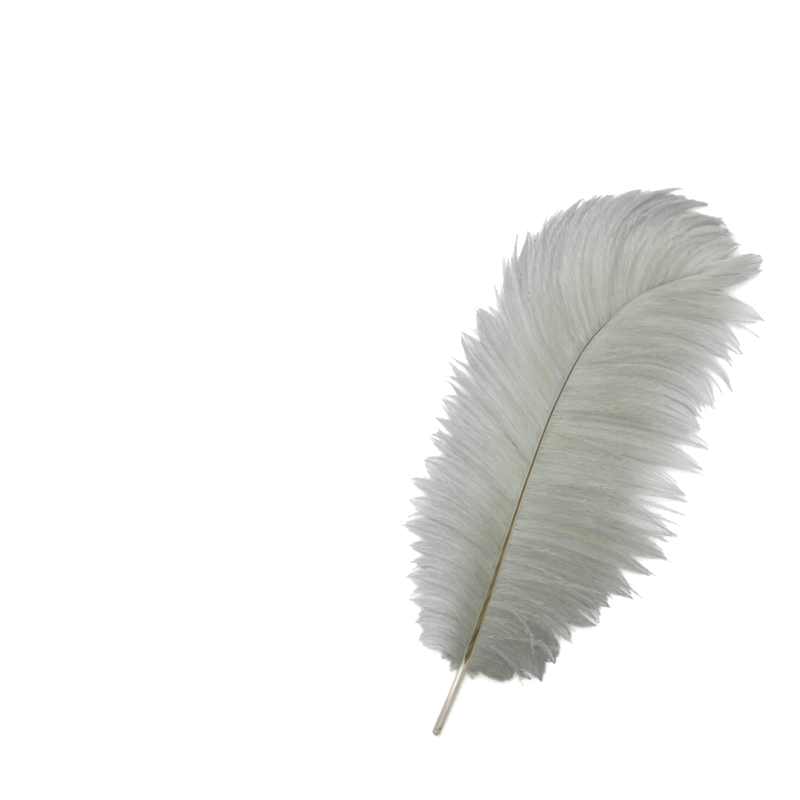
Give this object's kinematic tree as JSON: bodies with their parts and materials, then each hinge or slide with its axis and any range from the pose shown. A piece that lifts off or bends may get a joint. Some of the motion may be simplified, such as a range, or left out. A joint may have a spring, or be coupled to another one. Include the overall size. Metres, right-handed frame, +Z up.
{
  "type": "ostrich feather",
  "caption": "White ostrich plume lying flat: a curved, grooved shaft with a bare quill, and two broad vanes of loose, drooping barbs that gather in pointed locks.",
  "frame": {"origin": "middle of the plume's outline in plan, on the surface that it lies on", "axes": "+Y from the bare quill towards the tip, +X the plume's right as seen from above, where the tip curves to, +Z up, with the grooved face of the shaft upwards"},
  "size_m": [0.1801, 0.3444, 0.0143],
  "materials": {
    "barbs": "soft, bleached white down with a faint greenish grey shade near the shaft, not glossy",
    "shaft": "horn: olive brown in the groove with cream ridges, and clear, pale and slightly glossy on the bare quill"
  },
  "bodies": {
    "root": {"feather": "barbs"}
  },
  "joints": []
}
